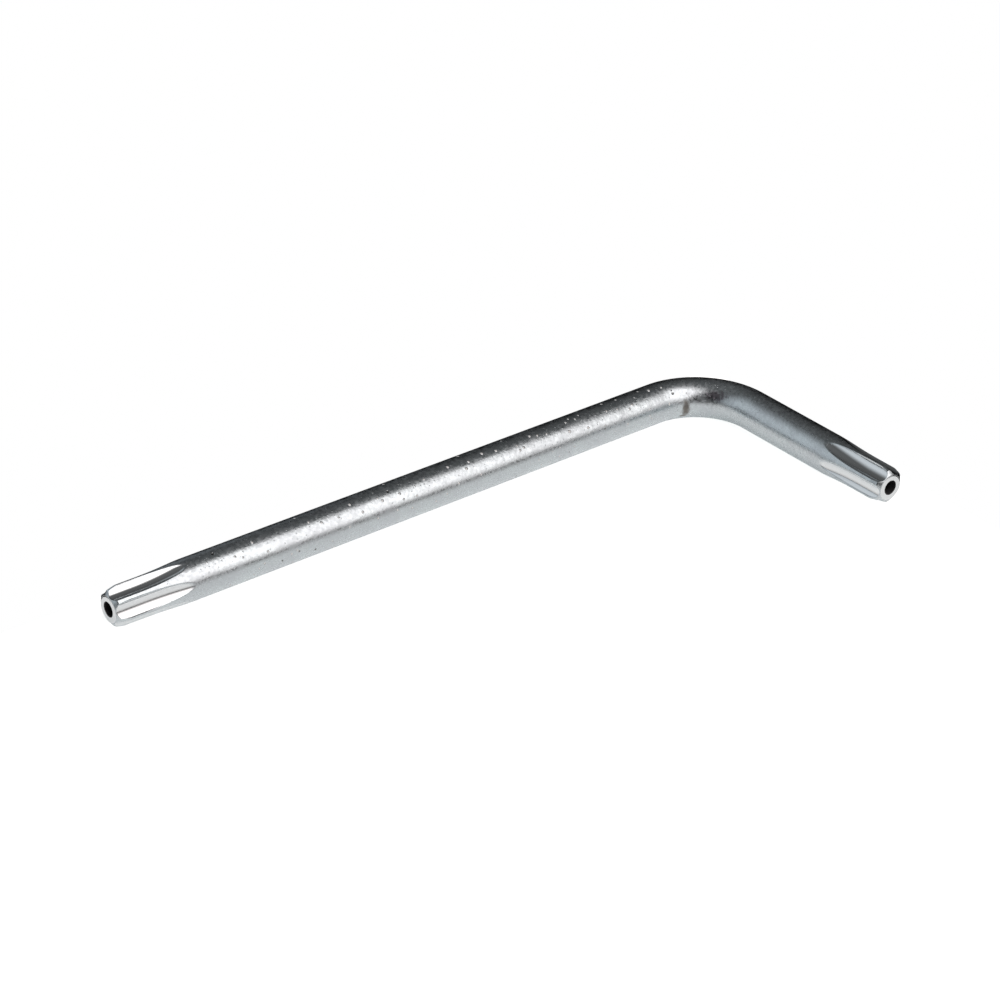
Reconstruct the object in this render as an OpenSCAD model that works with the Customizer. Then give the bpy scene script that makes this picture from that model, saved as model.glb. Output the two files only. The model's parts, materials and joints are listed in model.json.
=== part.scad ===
// Bent star key: a round bar with a drilled six-lobe star on each end
// Millimetres. The key lies flat with its long arm along -X and its short arm along -Y.

/* [Bar] */
// Diameter of the round bar
bar_d = 4; // [3.9:0.1:6]
// Overall length along the long arm, taken over the bend
long_reach = 71.6; // [60:0.1:120]
// Overall length along the short arm, taken over the bend
short_reach = 28; // [26:0.1:50]
// Radius of the bend at the middle of the bar
bend_r = 6.9; // [5:0.1:8]

/* [Star] */
// Diameter over the lobes
crest_d = 3.82; // [3.7:0.01:3.95]
// Diameter over the bottoms of the flutes
root_d = 2.66; // [2.6:0.01:3]
// Radius of the hollow of a flute
flute_r = 1.1; // [0.8:0.01:1.2]
// Length of a flute at its full depth, from the end of the key
flute_len = 2.4; // [2:0.1:5]
// Radius of the arc on which a flute runs out to the bar
runout_r = 22; // [8:0.5:26]
// Turn of the long arm's star about its bar, from a lobe straight up
long_star_turn = -15; // [-30:1:30]
// Turn of the short arm's star about its bar, from a lobe straight up
short_star_turn = -2; // [-30:1:30]

/* [End bevel] */
// Diameter of the flat end
end_face_d = 2.55; // [2.2:0.05:2.75]
// Length of the bevel along the bar
bevel_len = 0.3; // [0.2:0.05:0.6]
// Diameter over the lobes where the bevel ends and the lead taper starts
shoulder_d = 3.4; // [3:0.05:3.6]
// Distance from the end to where the lead taper reaches the full diameter over the lobes
lead_len = 1.1; // [0.8:0.05:1.6]

/* [Pin hole] */
// Diameter of the hole for the pin of a security screw
hole_d = 1.4; // [0.8:0.05:1.8]
// Depth of the hole to the end of its straight wall
hole_depth = 4; // [2:0.1:8]
// Angle of the drilled point at the bottom of the hole
hole_point = 118; // [90:1:140]
// Width of the broken edge at the mouth of the hole
hole_break = 0.05; // [0.04:0.01:0.12]

/* [Hidden] */
$fn = 96;

lobes = 6;
bar_r = bar_d / 2;
crest_r = crest_d / 2;
root_r = root_d / 2;
end_face_r = end_face_d / 2;
shoulder_r = shoulder_d / 2;
hole_r = hole_d / 2;

// Lengths of the arms from the corner where their axes cross to the ends of the key
long_len = long_reach - bar_r;
short_len = short_reach - bar_r;

// A flute leaves the bar where its arc has risen by the whole depth
flute_depth = max(bar_r, crest_r) - root_r;
runout_len = sqrt(2 * runout_r * flute_depth - flute_depth * flute_depth);
plain_collar = 0.6;
tip_len = flute_len + runout_len + plain_collar;
// The lobes keep their diameter a little past the straight part of the flutes, then widen to the bar
lobe_len = flute_len + runout_len / 3;
runout_turn = asin((runout_len + plain_collar / 2) / runout_r);
past_end = 1;

plate_colour = [0.72, 0.73, 0.74];
bright_colour = [0.82, 0.83, 0.85];

// Puts the crossing of the two arm axes in its place, with the middle of the key's box over the origin
module at_corner() {
  translate([long_reach / 2 - bar_r, short_reach / 2 - bar_r, bar_r]) children();
}

// Round blank of a star end, from the flat end at z = 0 up to the plain bar
module tip_blank() {
  rotate_extrude()
    polygon([
      [0, 0],
      [end_face_r, 0],
      [shoulder_r, bevel_len],
      [crest_r, lead_len],
      [crest_r, lobe_len],
      [bar_r, tip_len],
      [0, tip_len]
    ]);
}

// Straight part of a flute
module flute_straight() {
  translate([root_r + flute_r, 0, -past_end]) cylinder(h = flute_len + past_end, r = flute_r);
}

// Part of a flute that rises out of the bar on an arc
module flute_runout() {
  translate([root_r + runout_r, 0, flute_len])
    rotate([-90, 0, 0])
      rotate([0, 0, 180])
        rotate_extrude(angle = runout_turn)
          translate([runout_r - flute_r, 0]) rotate(180) circle(r = flute_r);
}

// Drilled hole with a pointed bottom and a broken edge at its mouth
module pin_hole() {
  translate([0, 0, -past_end]) cylinder(h = hole_depth + past_end, r = hole_r);
  translate([0, 0, hole_depth]) cylinder(h = hole_r / tan(hole_point / 2), r1 = hole_r, r2 = 0);
  translate([0, 0, -hole_break])
    cylinder(h = 2 * hole_break, r1 = hole_r + 2 * hole_break, r2 = hole_r);
}

// Star end of an arm, with its flat end at z = 0 and a lobe toward the angle given by the turn
module star_end(turn) {
  rotate([0, 0, turn])
    difference() {
      tip_blank();
      for (i = [0 : lobes - 1])
        rotate([0, 0, (i + 0.5) * 360 / lobes]) {
          flute_straight();
          flute_runout();
        }
      pin_hole();
    }
}

module long_star_tip() {
  color(bright_colour)
    at_corner() translate([-long_len, 0, 0]) rotate([0, 90, 0]) star_end(long_star_turn);
}

module long_arm() {
  color(plate_colour)
    at_corner()
      translate([tip_len - long_len, 0, 0])
        rotate([0, 90, 0]) cylinder(h = long_len - tip_len - bend_r, r = bar_r);
}

module bend() {
  color(plate_colour)
    at_corner()
      translate([-bend_r, -bend_r, 0])
        rotate_extrude(angle = 90) translate([bend_r, 0]) circle(r = bar_r);
}

module short_arm() {
  color(plate_colour)
    at_corner()
      translate([0, tip_len - short_len, 0])
        rotate([-90, 0, 0]) cylinder(h = short_len - tip_len - bend_r, r = bar_r);
}

module short_star_tip() {
  color(bright_colour)
    at_corner() translate([0, -short_len, 0]) rotate([-90, 0, 0]) star_end(90 + short_star_turn);
}

long_star_tip();
long_arm();
bend();
short_arm();
short_star_tip();
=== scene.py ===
"""Bent star key: a plated round bar with a drilled six-lobe star on each end, on a pale card in a studio."""

import json
import math

import bpy
import numpy as np
from mathutils import Matrix, Vector


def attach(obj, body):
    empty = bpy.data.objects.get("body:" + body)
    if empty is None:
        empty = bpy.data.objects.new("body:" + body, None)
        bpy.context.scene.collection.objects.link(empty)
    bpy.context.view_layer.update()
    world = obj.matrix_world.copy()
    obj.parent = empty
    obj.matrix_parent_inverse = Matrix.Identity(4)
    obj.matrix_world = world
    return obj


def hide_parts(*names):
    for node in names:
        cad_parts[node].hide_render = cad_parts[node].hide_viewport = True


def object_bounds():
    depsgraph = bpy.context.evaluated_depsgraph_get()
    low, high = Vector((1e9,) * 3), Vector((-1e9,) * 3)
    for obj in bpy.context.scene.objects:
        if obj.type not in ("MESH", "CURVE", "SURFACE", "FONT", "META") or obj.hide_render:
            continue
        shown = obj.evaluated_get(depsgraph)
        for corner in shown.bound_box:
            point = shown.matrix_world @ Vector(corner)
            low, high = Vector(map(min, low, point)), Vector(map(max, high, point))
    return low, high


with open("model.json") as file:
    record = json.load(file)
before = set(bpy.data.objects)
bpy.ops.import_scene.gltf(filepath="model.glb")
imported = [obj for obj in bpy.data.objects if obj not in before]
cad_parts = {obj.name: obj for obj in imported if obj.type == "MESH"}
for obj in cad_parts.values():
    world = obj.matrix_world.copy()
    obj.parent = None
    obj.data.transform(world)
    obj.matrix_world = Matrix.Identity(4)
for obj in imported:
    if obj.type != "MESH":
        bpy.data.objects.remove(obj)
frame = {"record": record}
CAD_LOW, CAD_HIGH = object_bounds()

bl_info = {
    "name": "Star key",
    "version": (1, 0, 0),
    "blender": (4, 5, 0),
    "location": "3D View > Sidebar > Star key",
    "description": "Builds a bent star key with a drilled star on each end, and the studio it is shown in",
    "category": "Object",
}

MM = 0.001
UP = Vector((0, 0, 1))
MOUNTS = {m["name"]: m for m in frame["record"]["mounts"]}


def place(name):
    """Position of a mount in the part's frame, in metres."""
    return Vector(MOUNTS[name]["pos_m"])


def size(name, what):
    """A size of a mount, in metres."""
    return MOUNTS[name]["dims"][what] * MM


# Sizes of the bar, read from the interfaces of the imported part
BAR_R = size("long_shank", "r_mm")
CREST_R = size("long_star_drive", "r_mm")
FLUTE_LEN = size("long_star_drive", "length_mm")
HOLE_R = size("long_pin_hole", "r_mm")
HOLE_WALL = size("long_pin_hole", "length_mm")
LONG_WALL = size("long_shank", "length_mm")
SHORT_WALL = size("short_shank", "length_mm")
LONG_MID = place("long_shank")
SHORT_MID = place("short_shank")
CORNER = Vector((SHORT_MID.x, LONG_MID.y, LONG_MID.z))
BEND_R = CORNER.x - LONG_MID.x - LONG_WALL / 2
LONG_TIP_LEN = LONG_MID.x - LONG_WALL / 2 - place("long_end_face").x
SHORT_TIP_LEN = SHORT_MID.y - SHORT_WALL / 2 - place("short_end_face").y
LOBES = 6
PITCH = 2 * math.pi / LOBES
BEND_MIDDLE = CORNER - Vector((BEND_R, BEND_R, 0))
DRILL_HALF_ANGLE = math.radians(59)

# Counts of points round the meshes and of rings along them, and the angle from which an edge is sharp
BAR_COLUMNS = 144
BAR_STEP = 0.4 * MM
BEND_RINGS = 91
STAR_COLUMNS = 432
HOLE_RINGS = 12
MOUTH_RINGS = 5
FACE_RINGS = 6
LEAD_RINGS = 44
FLUTE_RINGS = 100
SHARP_ANGLE = math.radians(50)

# Middle of the values of a noise texture
NOISE_MIDDLE = 0.5


class STARKEY_PG_star(bpy.types.PropertyGroup):
    """Sizes of the star on each end"""

    root_r: bpy.props.FloatProperty(
        name="Root radius", description="Radius at the bottom of a flute",
        default=1.33 * MM, unit="LENGTH")
    flute_r: bpy.props.FloatProperty(
        name="Flute radius", description="Radius of the hollow of a flute",
        default=1.1 * MM, unit="LENGTH")
    runout_r: bpy.props.FloatProperty(
        name="Run-out radius", description="Radius of the arc on which a flute rises to the bar",
        default=22 * MM, unit="LENGTH")
    end_face_r: bpy.props.FloatProperty(
        name="End face radius", description="Radius of the flat end",
        default=1.275 * MM, unit="LENGTH")
    bevel_len: bpy.props.FloatProperty(
        name="Bevel length", description="Length of the end bevel along the bar",
        default=0.3 * MM, unit="LENGTH")
    shoulder_r: bpy.props.FloatProperty(
        name="Shoulder radius", description="Radius where the bevel ends and the lead taper starts",
        default=1.7 * MM, unit="LENGTH")
    lead_len: bpy.props.FloatProperty(
        name="Lead length", description="Distance from the end to where the lobes reach their full radius",
        default=1.1 * MM, unit="LENGTH")
    hole_break: bpy.props.FloatProperty(
        name="Hole edge", description="Width of the broken edge at the mouth of the hole",
        default=0.05 * MM, unit="LENGTH")
    edge_r: bpy.props.FloatProperty(
        name="Edge softness", description="Reach of the rounding where two surfaces of the star meet",
        default=0.04 * MM, unit="LENGTH")
    long_turn: bpy.props.FloatProperty(
        name="Long star turn", description="Turn of the long arm's star from a lobe straight up",
        default=math.radians(-15), subtype="ANGLE")
    short_turn: bpy.props.FloatProperty(
        name="Short star turn", description="Turn of the short arm's star from a lobe straight up",
        default=math.radians(-2), subtype="ANGLE")


class STARKEY_PG_finish(bpy.types.PropertyGroup):
    """Colours and textures of the plating"""

    plate: bpy.props.FloatVectorProperty(
        name="Plate", description="Colour of the satin plating on the bar",
        default=(0.55, 0.605, 0.63), subtype="COLOR", min=0, max=1)
    haze: bpy.props.FloatVectorProperty(
        name="Haze", description="Colour of the plating where it has dulled",
        default=(0.53, 0.575, 0.605), subtype="COLOR", min=0, max=1)
    bright: bpy.props.FloatVectorProperty(
        name="Bright plate", description="Colour of the plating in the flutes and on the ends",
        default=(0.75, 0.785, 0.805), subtype="COLOR", min=0, max=1)
    rust: bpy.props.FloatVectorProperty(
        name="Rust", description="Colour of the rust mark inside the bend",
        default=(0.17, 0.15, 0.125), subtype="COLOR", min=0, max=1)
    # Dark patch inside the bend: partly tarnish, partly a painted dark reflection of the dim room that the
    # bend mirrors.
    tarnish_and_painted_reflection: bpy.props.FloatVectorProperty(
        name="Tarnish", description="Colour of the dark tarnish inside the bend",
        default=(0.25, 0.235, 0.265), subtype="COLOR", min=0, max=1)
    fleck: bpy.props.FloatVectorProperty(
        name="Fleck", description="Colour of the pale nodules in the plating",
        default=(0.9, 0.9, 0.89), subtype="COLOR", min=0, max=1)
    dirt: bpy.props.FloatVectorProperty(
        name="Dirt", description="Colour of the dirt in the pits of the plating",
        default=(0.16, 0.155, 0.15), subtype="COLOR", min=0, max=1)
    # Near-black hole colour: partly dull steel, partly painted shade of the unlit hole and its mouth.
    hole_steel_and_shade: bpy.props.FloatVectorProperty(
        name="Hole", description="Colour of the wall and mouth of the pin hole",
        default=(0.012, 0.012, 0.013), subtype="COLOR", min=0, max=1)
    satin: bpy.props.FloatProperty(
        name="Satin roughness", description="Roughness of the plating on the bar",
        default=0.27, min=0, max=1)
    satin_spread: bpy.props.FloatProperty(
        name="Satin spread", description="Spread of the roughness from grain to grain",
        default=0.5, min=0, max=1)
    polish: bpy.props.FloatProperty(
        name="Bright roughness", description="Roughness of the plating where the star is cut",
        default=0.13, min=0, max=1)
    grain_size: bpy.props.FloatProperty(
        name="Grain size", description="Width of the grain in the plating",
        default=0.25 * MM, unit="LENGTH")
    grain_height: bpy.props.FloatProperty(
        name="Grain height", description="Height of the grain in the plating",
        default=0.010 * MM, unit="LENGTH")
    wave_size: bpy.props.FloatProperty(
        name="Wave size", description="Length of the slow waves in the plating",
        default=1.6 * MM, unit="LENGTH")
    wave_height: bpy.props.FloatProperty(
        name="Wave height", description="Height of the slow waves in the plating",
        default=0.03 * MM, unit="LENGTH")
    nodule_gap: bpy.props.FloatProperty(
        name="Nodule spacing", description="Distance between the nodules in the plating",
        default=0.9 * MM, unit="LENGTH")
    nodule_r: bpy.props.FloatProperty(
        name="Nodule radius", description="Radius of the largest nodules",
        default=0.21 * MM, unit="LENGTH")
    nodule_height: bpy.props.FloatProperty(
        name="Nodule height", description="Height of the largest nodules",
        default=0.05 * MM, unit="LENGTH")
    speck_gap: bpy.props.FloatProperty(
        name="Speck spacing", description="Distance between the small specks in the plating",
        default=0.4 * MM, unit="LENGTH")
    speck_r: bpy.props.FloatProperty(
        name="Speck radius", description="Radius of the largest specks",
        default=0.09 * MM, unit="LENGTH")
    speck_height: bpy.props.FloatProperty(
        name="Speck height", description="Height of the largest specks",
        default=0.016 * MM, unit="LENGTH")


class STARKEY_PG_studio(bpy.types.PropertyGroup):
    """Camera, floor and lamps"""

    aim: bpy.props.FloatVectorProperty(
        name="Aim", description="Point in the middle of the picture",
        default=(3.07 * MM, 6.32 * MM, 2.0 * MM), subtype="XYZ", unit="LENGTH")
    azimuth: bpy.props.FloatProperty(
        name="Azimuth", description="Direction of the camera round the key",
        default=math.radians(-38.44), subtype="ANGLE")
    elevation: bpy.props.FloatProperty(
        name="Elevation", description="Height of the camera above the floor",
        default=math.radians(30.31), subtype="ANGLE")
    roll: bpy.props.FloatProperty(
        name="Roll", description="Tilt of the camera about its line of sight",
        default=math.radians(0.70), subtype="ANGLE")
    distance: bpy.props.FloatProperty(
        name="Distance", description="Distance of the camera from its aim",
        default=260.7 * MM, unit="LENGTH")
    lens: bpy.props.FloatProperty(
        name="Lens", description="Focal length in millimetres on a 36 mm frame",
        default=100.8)
    card: bpy.props.FloatVectorProperty(
        name="Card", description="Colour of the card that the key lies on",
        default=(0.92, 0.92, 0.91), subtype="COLOR", min=0, max=1)
    card_back: bpy.props.FloatProperty(
        name="Card behind", description="Reach of the card behind the key",
        default=3 * MM, unit="LENGTH")
    card_front: bpy.props.FloatProperty(
        name="Card in front", description="Reach of the card in front of the key",
        default=60 * MM, unit="LENGTH")
    card_seen: bpy.props.FloatProperty(
        name="Card seen", description="Glow of the card as the camera sees it",
        default=0.85)
    card_mirrored: bpy.props.FloatProperty(
        name="Card mirrored", description="Glow of the card as the metal mirrors it",
        default=0.39)
    ceiling: bpy.props.FloatProperty(
        name="Ceiling", description="Glow of the ceiling straight above the key",
        default=0.135)


def ring_mesh(name, rings, cap_first, cap_last, dark_rings=0):
    """Closed mesh through a stack of rings, each an array of points, with a middle point closing each end.

    Where dark_rings is given, faces below that ring and those closing the first end take the second material.
    """
    count, around = rings.shape[:2]
    points = np.concatenate([rings.reshape(-1, 3), [cap_first, cap_last]])
    first, last = len(points) - 2, len(points) - 1
    step = np.arange(around)
    after = (step + 1) % around
    quads = []
    for i in range(count - 1):
        low, high = i * around, (i + 1) * around
        quads.append(np.stack([low + step, low + after, high + after, high + step], axis=1))
    faces = np.concatenate(quads).tolist()
    faces += [(first, int(b), int(a)) for a, b in zip(step, after)]
    top = (count - 1) * around
    faces += [(last, int(top + a), int(top + b)) for a, b in zip(step, after)]
    mesh = bpy.data.meshes.new(name)
    mesh.from_pydata(points.tolist(), [], faces)
    mesh.polygons.foreach_set("use_smooth", np.ones(len(faces), bool))
    dark = np.zeros(len(faces), np.int32)
    dark[:dark_rings * around] = 1
    if dark_rings:
        dark[(count - 1) * around:count * around] = 1
    mesh.polygons.foreach_set("material_index", dark)
    mesh.set_sharp_from_angle(angle=SHARP_ANGLE)
    mesh.update()
    return mesh


def bar_ring(normal, side):
    """Circle of the bar about the origin, from the direction normal toward the direction side."""
    turn = np.linspace(0, 2 * math.pi, BAR_COLUMNS, endpoint=False)
    return BAR_R * (np.outer(np.cos(turn), normal) + np.outer(np.sin(turn), side))


def bar_stretch(name, start, end, normal, side):
    """Straight round bar from start to end, as a closed mesh."""
    count = max(2, int((end - start).length / BAR_STEP) + 1)
    share = np.linspace(0, 1, count)[:, None, None]
    rings = np.array(start) * (1 - share) + np.array(end) * share + bar_ring(normal, side)[None]
    return ring_mesh(name, rings, start, end)


def bar_bend(name):
    """Quarter turn of the bar from the short arm to the long arm, as a closed mesh."""
    rings = []
    for turn in np.linspace(0, math.pi / 2, BEND_RINGS):
        out = np.array((math.cos(turn), math.sin(turn), 0))
        rings.append(np.array(BEND_MIDDLE) + out * BEND_R + bar_ring(UP, out))
    rings = np.array(rings)
    return ring_mesh(name, rings, rings[0].mean(axis=0), rings[-1].mean(axis=0))


def show(name, mesh, materials, node):
    """Puts a finished mesh in the scene in place of its CAD node."""
    piece = bpy.data.objects.new(name, mesh)
    bpy.context.scene.collection.objects.link(piece)
    for material in materials:
        mesh.materials.append(material)
    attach(piece, "root")
    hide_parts(node)


def soft_min(a, b, reach):
    """The smaller of two radii, blended over the given reach."""
    near = np.clip(1 - np.abs(a - b) / reach, 0, None)
    return np.minimum(a, b) - near * near * reach / 4


def ease(share):
    """Share from 0 to 1 that starts and ends without a kink."""
    share = np.clip(share, 0, 1)
    return share * share * (3 - 2 * share)


def columns(half_flute, count):
    """Angles from a lobe of the points of each ring, with the edges of the flutes on the same columns.

    The half width of a flute is an angle, given for each ring. Each half lobe has its share of the columns.
    """
    half_lobe_share = 1 / 6
    flute_share = 1 - 2 * half_lobe_share
    number = np.arange(count)[None, :] * LOBES
    share = number % count / count
    half_lobe = PITCH / 2 - half_flute
    first_lobe = share / half_lobe_share * half_lobe
    flute = half_lobe + (share - half_lobe_share) / flute_share * 2 * half_flute
    next_lobe = PITCH - (1 - share) / half_lobe_share * half_lobe
    off = np.where(share > 1 - half_lobe_share, next_lobe, flute)
    off = np.where(share < half_lobe_share, first_lobe, off)
    return off + PITCH * (number // count)


def star_radius(star, depth, tip_len, around):
    """Angles from a lobe and radius of a star end at depths from its flat end, and its blank's radius."""
    least_half_flute = math.radians(3)
    depth = depth[:, None]
    bevel = star.end_face_r + (star.shoulder_r - star.end_face_r) * depth / star.bevel_len
    lead = (depth - star.bevel_len) / (star.lead_len - star.bevel_len)
    bevel = soft_min(bevel, star.shoulder_r + (CREST_R - star.shoulder_r) * lead, 2 * star.edge_r)
    runout = np.clip(depth - FLUTE_LEN, 0, None)
    flute_depth = BAR_R - star.root_r
    runout_len = math.sqrt(2 * star.runout_r * flute_depth - flute_depth ** 2)
    # The lobes keep their radius over the first third of the run-out, then widen to the bar
    lobe_part = 3
    lobe_len = FLUTE_LEN + runout_len / lobe_part
    widen = ease((depth - lobe_len) / (tip_len - lobe_len))
    outside = soft_min(bevel, CREST_R + (BAR_R - CREST_R) * widen, star.edge_r)
    rise = star.runout_r - np.sqrt(np.clip(star.runout_r ** 2 - runout ** 2, 0, None))
    middle = star.root_r + star.flute_r + rise
    meeting = (middle ** 2 + outside ** 2 - star.flute_r ** 2) / (2 * middle * outside)
    half_flute = np.arccos(np.clip(meeting, -1, 1))
    angle = columns(np.maximum(half_flute, least_half_flute), around)
    off = (angle % PITCH) - PITCH / 2
    reach = star.flute_r ** 2 - (middle * np.sin(off)) ** 2
    flute = middle * np.cos(off) - np.sqrt(np.clip(reach, 0, None))
    flute = np.where(reach > 0, flute, 2 * BAR_R)
    blank = outside + 0 * flute
    radius = soft_min(blank, flute, star.edge_r)
    radius = (np.roll(radius, 1, axis=1) + 2 * radius + np.roll(radius, -1, axis=1)) / 4
    return angle, radius, blank


def star_end(name, star, end, inward, turn, tip_len):
    """Star end with its pin hole, as a closed mesh. Inward points from the flat end into the bar.

    The mesh carries a value named cut, which is 0 on the bar's own surface and 1 where the star is cut in it.
    """
    cut_depth = 0.12 * MM
    around = STAR_COLUMNS
    side = np.array(inward.cross(UP))
    ones = np.ones(around)
    hole_depth = HOLE_WALL + star.hole_break
    stack = [(hole_depth, HOLE_R * ones)]
    stack += [(d, HOLE_R * ones) for d in np.linspace(hole_depth, star.hole_break, HOLE_RINGS)[1:]]
    for bow in np.linspace(0, math.pi / 2, MOUTH_RINGS)[1:]:
        mouth_r = HOLE_R + star.hole_break * (1 - math.cos(bow))
        stack.append((star.hole_break * (1 - math.sin(bow)), mouth_r * ones))
    # The hole's wall, its mouth and the drill point take the near-black second material, partly painted
    # shade.
    dark_rings = len(stack) - 1
    face = np.linspace(HOLE_R + star.hole_break, star.end_face_r - star.edge_r / 2, FACE_RINGS)[1:]
    stack += [(0, r * ones) for r in face]
    inside = len(stack)
    fine = np.linspace(star.edge_r / 2, star.lead_len, LEAD_RINGS)
    coarse = np.linspace(star.lead_len, tip_len, FLUTE_RINGS)[1:]
    depth = np.concatenate([fine, coarse])
    angle, radius, blank = star_radius(star, depth, tip_len, around)
    stack += list(zip(depth, radius))
    angle = np.concatenate([np.repeat(angle[:1], inside, axis=0), angle])[:, :, None] + turn
    across = np.cos(angle) * np.array(UP) + np.sin(angle) * side
    rings = np.array([np.array(end + inward * d) + a * r[:, None] for (d, r), a in zip(stack, across)])
    drill_point = hole_depth + HOLE_R / math.tan(DRILL_HALF_ANGLE)
    mesh = ring_mesh(name, rings, end + inward * drill_point, end + inward * tip_len, dark_rings)
    cut = np.ones((len(stack), around))
    cut[inside:] = ease((blank - radius) / cut_depth)
    values = np.concatenate([cut.ravel(), [1, 0]])
    mesh.attributes.new("cut", "FLOAT", "POINT").data.foreach_set("value", values.astype(np.float32))
    return mesh


def bend_point(along, around):
    """Point on the bend at an angle along it from the long arm and an angle round the bar from its outside.

    Also gives the direction along the bar there.
    """
    out = Vector((math.sin(along), math.cos(along), 0))
    normal = out * math.cos(around) + UP * math.sin(around)
    tangent = Vector((math.cos(along), -math.sin(along), 0))
    return BEND_MIDDLE + out * BEND_R + normal * BAR_R, tangent


def feed(tree, socket, value):
    """Links a socket to an input, or sets a number on it."""
    if isinstance(value, bpy.types.NodeSocket):
        tree.links.new(value, socket)
    else:
        socket.default_value = value


def new_group(name, inputs, outputs):
    """Empty shader node group. Its inputs have names, kinds and defaults, and its outputs have names."""
    tree = bpy.data.node_groups.new(name, "ShaderNodeTree")
    for title, kind, default in inputs:
        socket = tree.interface.new_socket(title, in_out="INPUT", socket_type=kind)
        socket.default_value = default
    for title in outputs:
        tree.interface.new_socket(title, in_out="OUTPUT", socket_type="NodeSocketFloat")
    return tree, tree.nodes.new("NodeGroupInput"), tree.nodes.new("NodeGroupOutput")


def math_node(tree, operation, *values):
    """Math node whose inputs are numbers or sockets. Returns its output."""
    node = tree.nodes.new("ShaderNodeMath")
    node.operation = operation
    for socket, value in zip(node.inputs, values):
        feed(tree, socket, value)
    return node.outputs[0]


def smooth_range(tree, value, low, high, to_low=0.0, to_high=1.0):
    """Smooth step of a value between two limits, which are numbers or sockets. Returns its output."""
    node = tree.nodes.new("ShaderNodeMapRange")
    node.interpolation_type = "SMOOTHSTEP"
    feed(tree, node.inputs["Value"], value)
    feed(tree, node.inputs["From Min"], low)
    feed(tree, node.inputs["From Max"], high)
    feed(tree, node.inputs["To Min"], to_low)
    feed(tree, node.inputs["To Max"], to_high)
    return node.outputs[0]


def noise(tree, where, scale, detail):
    """Noise texture at a place, of a scale that is a number or a socket. Returns its value output."""
    node = tree.nodes.new("ShaderNodeTexNoise")
    tree.links.new(where, node.inputs["Vector"])
    feed(tree, node.inputs["Scale"], scale)
    node.inputs["Detail"].default_value = detail
    return node.outputs["Fac"]


def grain_group():
    """Grain, slow waves and clouding of a plated surface."""
    tree, given, made = new_group(
        "plating_grain",
        [("Grain size", "NodeSocketFloat", 0.25 * MM), ("Wave size", "NodeSocketFloat", 1.6 * MM)],
        ["Grain", "Sheen", "Waves", "Clouds"])
    sheen_offset = (0.3, 0.1, 0.2)
    sheen_scale = 0.8
    cloud_scale = 0.7
    cloud_low, cloud_high = 0.35, 0.65
    where = tree.nodes.new("ShaderNodeTexCoord").outputs["Object"]
    fine = math_node(tree, "DIVIDE", 1.0, given.outputs["Grain size"])
    slow = math_node(tree, "DIVIDE", 1.0, given.outputs["Wave size"])
    tree.links.new(noise(tree, where, fine, detail=1.0), made.inputs["Grain"])
    shifted = tree.nodes.new("ShaderNodeVectorMath")
    shifted.inputs[1].default_value = sheen_offset
    tree.links.new(where, shifted.inputs[0])
    sheen = noise(tree, shifted.outputs[0], math_node(tree, "MULTIPLY", fine, sheen_scale), detail=2.0)
    tree.links.new(math_node(tree, "SUBTRACT", sheen, NOISE_MIDDLE), made.inputs["Sheen"])
    tree.links.new(noise(tree, where, slow, detail=1.0), made.inputs["Waves"])
    clouds = noise(tree, where, math_node(tree, "MULTIPLY", slow, cloud_scale), detail=4.0)
    tree.links.new(smooth_range(tree, clouds, cloud_low, cloud_high), made.inputs["Clouds"])


def nodule_group():
    """Small domes and pits scattered over a plated surface."""
    tree, given, made = new_group(
        "plating_nodules",
        [("Spacing", "NodeSocketFloat", 0.9 * MM), ("Radius", "NodeSocketFloat", 0.13 * MM)],
        ["Domes", "Pits"])
    least_share = 0.5
    flat_share = 0.4
    pit_chance = 0.14
    where = tree.nodes.new("ShaderNodeTexCoord").outputs["Object"]
    cells = tree.nodes.new("ShaderNodeTexVoronoi")
    tree.links.new(where, cells.inputs["Vector"])
    tree.links.new(math_node(tree, "DIVIDE", 1.0, given.outputs["Spacing"]), cells.inputs["Scale"])
    distance = math_node(tree, "MULTIPLY", cells.outputs["Distance"], given.outputs["Spacing"])
    chance = tree.nodes.new("ShaderNodeSeparateColor")
    tree.links.new(cells.outputs["Color"], chance.inputs[0])
    share = math_node(tree, "MULTIPLY_ADD", chance.outputs[1], 1 - least_share, least_share)
    reach = math_node(tree, "MULTIPLY", given.outputs["Radius"], share)
    spot = smooth_range(tree, distance, reach, math_node(tree, "MULTIPLY", reach, flat_share))
    raised = math_node(tree, "GREATER_THAN", chance.outputs[0], pit_chance)
    tree.links.new(math_node(tree, "MULTIPLY", spot, raised), made.inputs["Domes"])
    sunk = math_node(tree, "SUBTRACT", 1.0, raised)
    tree.links.new(math_node(tree, "MULTIPLY", spot, sunk), made.inputs["Pits"])


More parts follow.
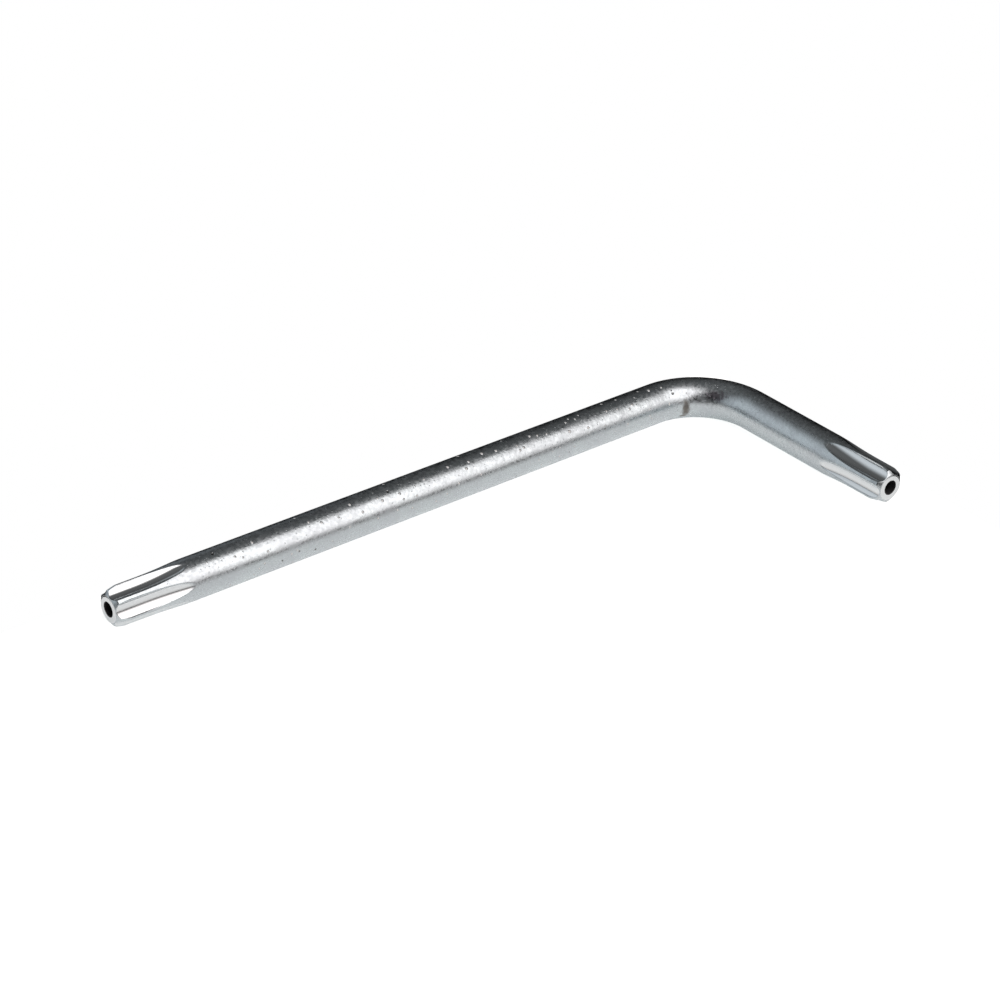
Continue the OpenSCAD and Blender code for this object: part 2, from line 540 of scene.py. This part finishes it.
def stain_group():
    """Ragged spot at one place on the bar."""
    tree, given, made = new_group(
        "stain",
        [("Centre", "NodeSocketVector", (0, 0, 0)), ("Along", "NodeSocketVector", (1, 0, 0)),
         ("Half length", "NodeSocketFloat", MM), ("Half width", "NodeSocketFloat", MM),
         ("Rag size", "NodeSocketFloat", 0.3 * MM), ("Rag", "NodeSocketFloat", 0.8),
         ("Softness", "NodeSocketFloat", 0.3)],
        ["Mask"])
    rag_reach = 3.0
    where = tree.nodes.new("ShaderNodeTexCoord").outputs["Object"]
    off = tree.nodes.new("ShaderNodeVectorMath")
    off.operation = "SUBTRACT"
    tree.links.new(where, off.inputs[0])
    tree.links.new(given.outputs["Centre"], off.inputs[1])
    along = tree.nodes.new("ShaderNodeVectorMath")
    along.operation = "DOT_PRODUCT"
    tree.links.new(off.outputs[0], along.inputs[0])
    tree.links.new(given.outputs["Along"], along.inputs[1])
    whole = tree.nodes.new("ShaderNodeVectorMath")
    whole.operation = "LENGTH"
    tree.links.new(off.outputs[0], whole.inputs[0])
    along_square = math_node(tree, "POWER", math_node(tree, "ABSOLUTE", along.outputs["Value"]), 2.0)
    whole_square = math_node(tree, "POWER", whole.outputs["Value"], 2.0)
    cross_square = math_node(tree, "MAXIMUM", math_node(tree, "SUBTRACT", whole_square, along_square), 0.0)
    half_length = math_node(tree, "POWER", given.outputs["Half length"], 2.0)
    half_width = math_node(tree, "POWER", given.outputs["Half width"], 2.0)
    spread = math_node(tree, "ADD", math_node(tree, "DIVIDE", along_square, half_length),
                       math_node(tree, "DIVIDE", cross_square, half_width))
    rag = noise(tree, where, math_node(tree, "DIVIDE", 1.0, given.outputs["Rag size"]), detail=3.0)
    shift = math_node(tree, "SUBTRACT", rag, NOISE_MIDDLE)
    shift = math_node(tree, "MULTIPLY", shift, given.outputs["Rag"])
    shift = math_node(tree, "MULTIPLY", shift, rag_reach)
    edge = math_node(tree, "ADD", math_node(tree, "SQRT", spread), shift)
    outer = math_node(tree, "ADD", 1.0, given.outputs["Softness"])
    inner = math_node(tree, "SUBTRACT", 1.0, given.outputs["Softness"])
    tree.links.new(smooth_range(tree, edge, outer, inner), made.inputs["Mask"])


def shader(name):
    """New material with its tree and its Principled shader."""
    material = bpy.data.materials.new(name)
    material.use_nodes = True
    return material, material.node_tree, material.node_tree.nodes["Principled BSDF"]


def placed(tree, group, **values):
    """Node of a group in a material, with its inputs set. Underscores in the names stand for spaces."""
    node = tree.nodes.new("ShaderNodeGroup")
    node.node_tree = bpy.data.node_groups[group]
    for name, value in values.items():
        node.inputs[name.replace("_", " ")].default_value = value
    return node.outputs


def colour_mix(tree, share, below, above):
    """Mix of two colours, each a tuple or a socket. Returns its output."""
    node = tree.nodes.new("ShaderNodeMix")
    node.data_type = "RGBA"
    tree.links.new(share, node.inputs["Factor"])
    for socket, value in ((node.inputs[6], below), (node.inputs[7], above)):
        feed(tree, socket, value if isinstance(value, bpy.types.NodeSocket) else (*value, 1))
    return node.outputs[2]


def value_mix(tree, share, below, above):
    """Mix of two values, each a number or a socket. Returns its output."""
    node = tree.nodes.new("ShaderNodeMix")
    tree.links.new(share, node.inputs["Factor"])
    feed(tree, node.inputs[2], below)
    feed(tree, node.inputs[3], above)
    return node.outputs[0]


def bump(tree, height, face):
    """Bump of a height in metres on a shader."""
    node = tree.nodes.new("ShaderNodeBump")
    node.inputs["Distance"].default_value = 1
    tree.links.new(height, node.inputs["Height"])
    tree.links.new(node.outputs["Normal"], face.inputs["Normal"])


def plating(finish, tree):
    """Colour, roughness, metal share and height of the satin plating, as sockets in a material."""
    haze_roughness = finish.satin + 0.05
    fleck_roughness = 0.6
    fleck_metal = 0.15
    grain = placed(tree, "plating_grain", Grain_size=finish.grain_size, Wave_size=finish.wave_size)
    spots = placed(tree, "plating_nodules", Spacing=finish.nodule_gap, Radius=finish.nodule_r)
    specks = placed(tree, "plating_nodules", Spacing=finish.speck_gap, Radius=finish.speck_r)
    where = tree.nodes.new("ShaderNodeSeparateXYZ")
    tree.links.new(tree.nodes.new("ShaderNodeTexCoord").outputs["Object"], where.inputs[0])
    tip_side = LONG_MID.x - LONG_WALL / 2
    in_bend = CORNER.x - BEND_R / 3
    before_bend = smooth_range(tree, where.outputs[0], in_bend, CORNER.x - BEND_R)
    past_tip = smooth_range(tree, where.outputs[0], tip_side, tip_side + BAR_R)
    pimpled = math_node(tree, "MULTIPLY", before_bend, past_tip)
    domes = math_node(tree, "MULTIPLY", spots["Domes"], pimpled)
    pits = math_node(tree, "MULTIPLY", spots["Pits"], pimpled)
    colour = colour_mix(tree, grain["Clouds"], finish.plate, finish.haze)
    colour = colour_mix(tree, pits, colour, finish.dirt)
    colour = colour_mix(tree, domes, colour, finish.fleck)
    roughness = value_mix(tree, grain["Clouds"], finish.satin, haze_roughness)
    roughness = math_node(tree, "MULTIPLY_ADD", grain["Sheen"], finish.satin_spread, roughness)
    roughness = value_mix(tree, domes, roughness, fleck_roughness)
    fine = math_node(tree, "MULTIPLY", grain["Grain"], finish.grain_height)
    height = math_node(tree, "MULTIPLY_ADD", grain["Waves"], finish.wave_height, fine)
    height = math_node(tree, "MULTIPLY_ADD", domes, finish.nodule_height, height)
    height = math_node(tree, "MULTIPLY_ADD", pits, -finish.nodule_height, height)
    height = math_node(tree, "MULTIPLY_ADD", specks["Domes"], finish.speck_height, height)
    height = math_node(tree, "MULTIPLY_ADD", specks["Pits"], -finish.speck_height, height)
    return colour, roughness, value_mix(tree, domes, 1.0, fleck_metal), height


def stain(tree, along, around, half_length, half_width, rag, softness):
    """Mask of a stain inside the bend, at angles in degrees, of sizes along and round the bar in mm."""
    rag_size = 0.3 * MM
    centre, tangent = bend_point(math.radians(along), math.radians(around))
    return placed(tree, "stain", Centre=centre, Along=tangent, Half_length=half_length * MM,
                  Half_width=half_width * MM, Rag_size=rag_size, Rag=rag, Softness=softness)["Mask"]


def satin_plate(finish):
    """Plated bar with a fine grain, nodules, a rust mark, and a dark patch inside the bend that is partly
    tarnish and partly a painted dark reflection.
    """
    material, tree, face = shader("satin_plate")
    band_share = 0.85
    foot_share = 0.7
    crust_share = 0.7
    rust_roughness = 0.7
    rust_metal = 0.15
    colour, roughness, metal, height = plating(finish, tree)
    band = stain(tree, along=25.0, around=184, half_length=0.33, half_width=0.82, rag=0.35, softness=0.55)
    crust = stain(tree, along=25.6, around=174, half_length=0.24, half_width=0.34, rag=0.3, softness=0.7)
    foot = stain(tree, along=22.5, around=212, half_length=0.32, half_width=0.16, rag=0.4, softness=0.5)
    # Dark patch inside the bend, partly tarnish and partly a painted dark reflection.
    tarnish_and_painted_reflection = stain(tree, along=57, around=144, half_length=0.95, half_width=0.44, rag=0.7, softness=0.5)
    colour = colour_mix(tree, tarnish_and_painted_reflection, colour, finish.tarnish_and_painted_reflection)
    band = math_node(tree, "MULTIPLY", band, band_share)
    foot = math_node(tree, "MULTIPLY", foot, foot_share)
    rust = math_node(tree, "MAXIMUM", band, foot)
    colour = colour_mix(tree, rust, colour, finish.rust)
    colour = colour_mix(tree, math_node(tree, "MULTIPLY", crust, crust_share), colour, finish.dirt)
    roughness = value_mix(tree, rust, roughness, rust_roughness)
    tree.links.new(colour, face.inputs["Base Color"])
    tree.links.new(roughness, face.inputs["Roughness"])
    tree.links.new(value_mix(tree, rust, metal, rust_metal), face.inputs["Metallic"])
    bump(tree, height, face)
    return material


def bright_plate(finish):
    """Plating of a star end: the bar's own finish on the lobes, a brighter, smoother one where it is cut."""
    calm_share = 0.93
    material, tree, face = shader("bright_plate")
    colour, roughness, metal, height = plating(finish, tree)
    cut = tree.nodes.new("ShaderNodeAttribute")
    cut.attribute_name = "cut"
    cut = cut.outputs["Fac"]
    tree.links.new(metal, face.inputs["Metallic"])
    tree.links.new(colour_mix(tree, cut, colour, finish.bright), face.inputs["Base Color"])
    tree.links.new(value_mix(tree, cut, roughness, finish.polish), face.inputs["Roughness"])
    calm = math_node(tree, "MULTIPLY_ADD", cut, -calm_share, 1.0)
    bump(tree, math_node(tree, "MULTIPLY", height, calm), face)
    return material


def hole_wall(finish):
    """Dull steel inside the pin holes and on their mouths, near black: partly the steel's own colour, partly
    painted shade of the unlit hole.
    """
    pale_gain = 2.5
    least_roughness, most_roughness = 0.55, 0.85
    grain_height = 0.01 * MM
    material, tree, face = shader("hole_wall")
    grain = placed(tree, "plating_grain", Grain_size=0.12 * MM, Wave_size=0.6 * MM)
    pale = tuple(pale_gain * c for c in finish.hole_steel_and_shade)
    tree.links.new(colour_mix(tree, grain["Clouds"], finish.hole_steel_and_shade, pale), face.inputs["Base Color"])
    roughness = value_mix(tree, grain["Grain"], least_roughness, most_roughness)
    tree.links.new(roughness, face.inputs["Roughness"])
    bump(tree, math_node(tree, "MULTIPLY", grain["Grain"], grain_height), face)
    return material


class STARKEY_OT_effects(bpy.types.Operator):
    """Builds the shared effects of the plating: grain, nodules and stains"""

    bl_idname = "starkey.effects"
    bl_label = "Build the plating effects"

    def execute(self, context):
        grain_group()
        nodule_group()
        stain_group()
        return {"FINISHED"}


class STARKEY_OT_bar(bpy.types.Operator):
    """Builds the two straight arms and the bend between them"""

    bl_idname = "starkey.bar"
    bl_label = "Build the bar"

    def execute(self, context):
        plate = satin_plate(context.scene.starkey_finish)
        reach = Vector((LONG_WALL / 2, 0, 0))
        mesh = bar_stretch("long_arm_bar", LONG_MID - reach, LONG_MID + reach, Vector((0, 1, 0)), UP)
        show("long_arm_bar", mesh, [plate], "long_arm")
        reach = Vector((0, SHORT_WALL / 2, 0))
        mesh = bar_stretch("short_arm_bar", SHORT_MID - reach, SHORT_MID + reach, UP, Vector((1, 0, 0)))
        show("short_arm_bar", mesh, [plate], "short_arm")
        show("bend_bar", bar_bend("bend_bar"), [plate], "bend")
        return {"FINISHED"}


class STARKEY_OT_star_ends(bpy.types.Operator):
    """Builds the star on the end of each arm"""

    bl_idname = "starkey.star_ends"
    bl_label = "Build the star ends"

    def execute(self, context):
        finish = context.scene.starkey_finish
        star = context.scene.starkey_star
        bright = bright_plate(finish)
        hole = hole_wall(finish)
        long_end = Vector((place("long_end_face").x, CORNER.y, CORNER.z))
        short_end = Vector((CORNER.x, place("short_end_face").y, CORNER.z))
        mesh = star_end("long_star", star, long_end, Vector((1, 0, 0)), star.long_turn, LONG_TIP_LEN)
        show("long_star", mesh, [bright, hole], "long_star_tip")
        mesh = star_end("short_star", star, short_end, Vector((0, 1, 0)), star.short_turn, SHORT_TIP_LEN)
        show("short_star", mesh, [bright, hole], "short_star_tip")
        return {"FINISHED"}


def toward(azimuth, elevation):
    """Direction from the key to a camera or lamp."""
    level = math.cos(elevation)
    return Vector((math.sin(azimuth) * level, -math.cos(azimuth) * level, math.sin(elevation)))


def soft_box(name, azimuth, elevation, distance, wide, tall, fades, radiance, colour):
    """Soft box that faces the key, fades toward its edges and isn't seen by the camera.

    Its azimuth and elevation are in degrees. Its half width and half height are shares of its distance.
    Its fades, at the sides, the bottom and the top, are shares of its whole width and height.
    """
    lamp = bpy.data.lights.new(name, "AREA")
    lamp.shape = "RECTANGLE"
    lamp.size = 2 * wide * distance
    lamp.size_y = 2 * tall * distance
    lamp.energy = radiance * math.pi * lamp.size * lamp.size_y
    lamp.color = colour
    lamp.use_nodes = True
    tree = lamp.node_tree
    spot = tree.nodes.new("ShaderNodeSeparateXYZ")
    tree.links.new(tree.nodes.new("ShaderNodeNewGeometry").outputs["Parametric"], spot.inputs[0])
    side, low, top = fades
    level = smooth_range(tree, spot.outputs[0], 0.0, side)
    other_edges = ((spot.outputs[0], -side), (spot.outputs[1], low), (spot.outputs[1], -top))
    for place_on_box, fade in other_edges:
        start = 0.0 if fade > 0 else 1.0
        level = math_node(tree, "MULTIPLY", level, smooth_range(tree, place_on_box, start, start + fade))
    glow = tree.nodes["Emission"]
    tree.links.new(level, glow.inputs["Strength"])
    box = bpy.data.objects.new(name, lamp)
    back = toward(math.radians(azimuth), math.radians(elevation))
    box.location = back * distance
    box.rotation_mode = "QUATERNION"
    box.rotation_quaternion = (-back).to_track_quat("-Z", "Y")
    box.visible_camera = False
    bpy.context.scene.collection.objects.link(box)


class STARKEY_OT_stage(bpy.types.Operator):
    """Sets up the camera, the card and the lamps"""

    bl_idname = "starkey.stage"
    bl_label = "Set up the studio"

    def execute(self, context):
        scene = context.scene
        studio = scene.starkey_studio
        scene.view_settings.view_transform = "Standard"
        self.camera(scene, studio)
        self.room(scene, studio)
        self.card(scene, studio)
        soft_box("key_box", azimuth=19, elevation=42, distance=0.6, wide=0.675, tall=0.97,
                 fades=(0.185, 0.43, 0.269), radiance=2.02, colour=(1.0, 0.925, 0.90))
        soft_box("side_box", azimuth=-141, elevation=31.5, distance=0.45, wide=2.4, tall=0.6,
                 fades=(0.485, 0.1, 0.55), radiance=0.72, colour=(0.92, 0.96, 1.0))
        return {"FINISHED"}

    def camera(self, scene, studio):
        """Camera at the photo's angle."""
        frame_width = 36
        nearest = 10 * MM
        lens = bpy.data.cameras.new("camera")
        lens.sensor_width = frame_width
        lens.lens = studio.lens
        lens.clip_start = nearest
        camera = bpy.data.objects.new("camera", lens)
        scene.collection.objects.link(camera)
        scene.camera = camera
        back = toward(studio.azimuth, studio.elevation)
        turn = (-back).to_track_quat("-Z", "Y").to_matrix() @ Matrix.Rotation(studio.roll, 3, "Z")
        camera.matrix_world = Matrix.Translation(Vector(studio.aim) + back * studio.distance) @ turn.to_4x4()

    def room(self, scene, studio):
        """White behind the card for the camera, and a pale ceiling over a dark horizon for the metal."""
        horizon = 0.15
        floor_glow = 0.015
        world = bpy.data.worlds.new("studio")
        scene.world = world
        world.use_nodes = True
        tree = world.node_tree
        way = tree.nodes.new("ShaderNodeSeparateXYZ")
        tree.links.new(tree.nodes.new("ShaderNodeTexCoord").outputs["Generated"], way.inputs[0])
        rise = math_node(tree, "SUBTRACT", way.outputs[2], horizon)
        rise = math_node(tree, "DIVIDE", rise, 1 - horizon)
        rise = math_node(tree, "MAXIMUM", rise, floor_glow)
        ceiling = math_node(tree, "MULTIPLY", rise, studio.ceiling)
        path = tree.nodes.new("ShaderNodeLightPath")
        level = value_mix(tree, path.outputs["Is Camera Ray"], ceiling, 1.0)
        tree.nodes["Background"].inputs["Color"].default_value = (1, 1, 1, 1)
        tree.links.new(level, tree.nodes["Background"].inputs["Strength"])

    def card(self, scene, studio):
        """Pale card that the key lies on, which the metal mirrors less at a glancing angle."""
        glancing, steep = 0.99, 0.66
        left = CAD_LOW[0] - studio.card_front
        right = CAD_HIGH[0] + studio.card_back
        front = CAD_LOW[1] - studio.card_front
        back = CAD_HIGH[1] + studio.card_back
        mesh = bpy.data.meshes.new("card")
        corners = [(left, front, 0), (right, front, 0), (right, back, 0), (left, back, 0)]
        mesh.from_pydata(corners, [], [(0, 1, 2, 3)])
        card = bpy.data.objects.new("card", mesh)
        scene.collection.objects.link(card)
        material = bpy.data.materials.new("card")
        material.use_nodes = True
        tree = material.node_tree
        tree.nodes.clear()
        matt = tree.nodes.new("ShaderNodeBsdfDiffuse")
        matt.inputs["Color"].default_value = (*studio.card, 1)
        glow = tree.nodes.new("ShaderNodeEmission")
        glow.inputs["Color"].default_value = (*studio.card, 1)
        path = tree.nodes.new("ShaderNodeLightPath")
        seen = math_node(tree, "MULTIPLY", path.outputs["Is Camera Ray"], studio.card_seen)
        glance = tree.nodes.new("ShaderNodeLayerWeight").outputs["Facing"]
        shown = smooth_range(tree, glance, glancing, steep, 0.0, studio.card_mirrored)
        level = math_node(tree, "MULTIPLY_ADD", path.outputs["Is Glossy Ray"], shown, seen)
        tree.links.new(level, glow.inputs["Strength"])
        both = tree.nodes.new("ShaderNodeAddShader")
        tree.links.new(matt.outputs[0], both.inputs[0])
        tree.links.new(glow.outputs[0], both.inputs[1])
        output = tree.nodes.new("ShaderNodeOutputMaterial")
        tree.links.new(both.outputs[0], output.inputs["Surface"])
        mesh.materials.append(material)


class STARKEY_PT_panel(bpy.types.Panel):
    """Builders and settings of the star key"""

    bl_label = "Star key"
    bl_idname = "STARKEY_PT_panel"
    bl_space_type = "VIEW_3D"
    bl_region_type = "UI"
    bl_category = "Star key"

    def draw(self, context):
        scene = context.scene
        for builder in (STARKEY_OT_effects, STARKEY_OT_bar, STARKEY_OT_star_ends, STARKEY_OT_stage):
            self.layout.operator(builder.bl_idname)
        for group in (scene.starkey_star, scene.starkey_finish, scene.starkey_studio):
            box = self.layout.box()
            for name in group.bl_rna.properties.keys():
                if name not in ("rna_type", "name"):
                    box.prop(group, name)


CLASSES = (
    STARKEY_PG_star, STARKEY_PG_finish, STARKEY_PG_studio,
    STARKEY_OT_effects, STARKEY_OT_bar, STARKEY_OT_star_ends, STARKEY_OT_stage, STARKEY_PT_panel,
)


def register():
    for cls in CLASSES:
        bpy.utils.register_class(cls)
    bpy.types.Scene.starkey_star = bpy.props.PointerProperty(type=STARKEY_PG_star)
    bpy.types.Scene.starkey_finish = bpy.props.PointerProperty(type=STARKEY_PG_finish)
    bpy.types.Scene.starkey_studio = bpy.props.PointerProperty(type=STARKEY_PG_studio)


def unregister():
    del bpy.types.Scene.starkey_studio
    del bpy.types.Scene.starkey_finish
    del bpy.types.Scene.starkey_star
    for cls in reversed(CLASSES):
        bpy.utils.unregister_class(cls)


def main():
    register()
    bpy.ops.starkey.effects()
    bpy.ops.starkey.bar()
    bpy.ops.starkey.star_ends()
    bpy.ops.starkey.stage()


if __name__ == "__main__":
    main()
